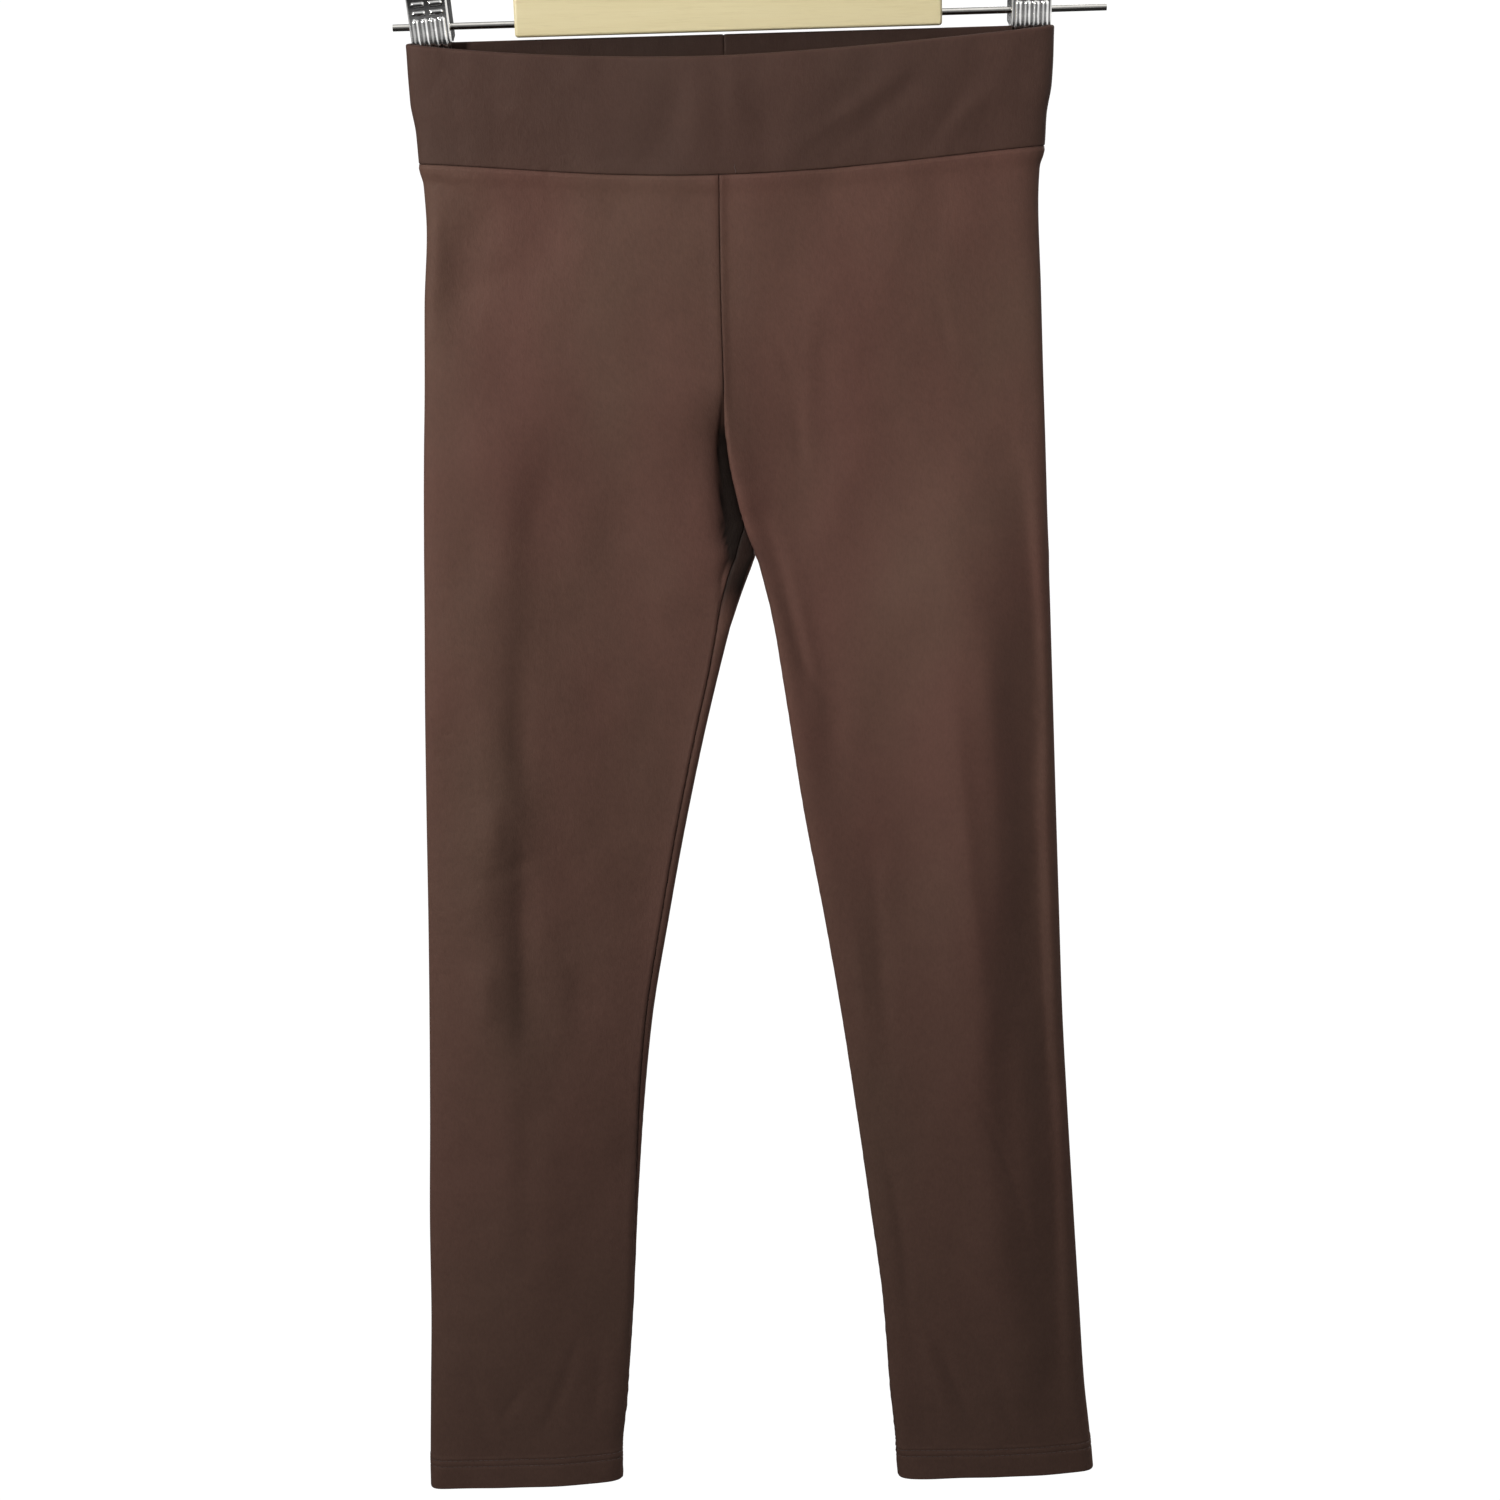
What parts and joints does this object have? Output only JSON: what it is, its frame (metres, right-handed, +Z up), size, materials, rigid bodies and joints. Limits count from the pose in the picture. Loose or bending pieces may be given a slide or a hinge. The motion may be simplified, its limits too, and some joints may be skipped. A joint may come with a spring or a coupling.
{
  "type": "leggings on a clip hanger",
  "caption": "Ankle-length stretch-knit leggings with a wide folded waistband, hung flat by the waist from a small wooden-bar clip hanger.",
  "frame": {"origin": "the underside of the hook's crown, where the hanger rests on a rail", "axes": "+Z up, +X to the viewer's right along the hanger's rod, -Y out of the front of the garment; a rail runs along Y"},
  "size_m": [0.3893, 0.0392, 0.9768],
  "materials": {
    "knit": "thick smooth dark chocolate-brown stretch knit with a soft sheen",
    "pale_wood": "pale clear-lacquered wood",
    "hook_steel": "bright plated steel wire and rod",
    "clip_steel": "bright plated pressed steel"
  },
  "bodies": {
    "root": {"waistband": "knit", "leg_right_hip": "knit", "leg_right_thigh": "knit", "leg_right_knee": "knit", "leg_right_calf": "knit", "leg_left_hip": "knit", "leg_left_thigh": "knit", "leg_left_knee": "knit", "leg_left_calf": "knit", "hanger_body": "pale_wood", "hanger_hook": "hook_steel", "hanger_rod": "hook_steel", "clip_right_front": "clip_steel", "clip_right_back": "clip_steel", "clip_right_spring": "clip_steel", "clip_left_front": "clip_steel", "clip_left_back": "clip_steel", "clip_left_spring": "clip_steel"}
  },
  "joints": []
}
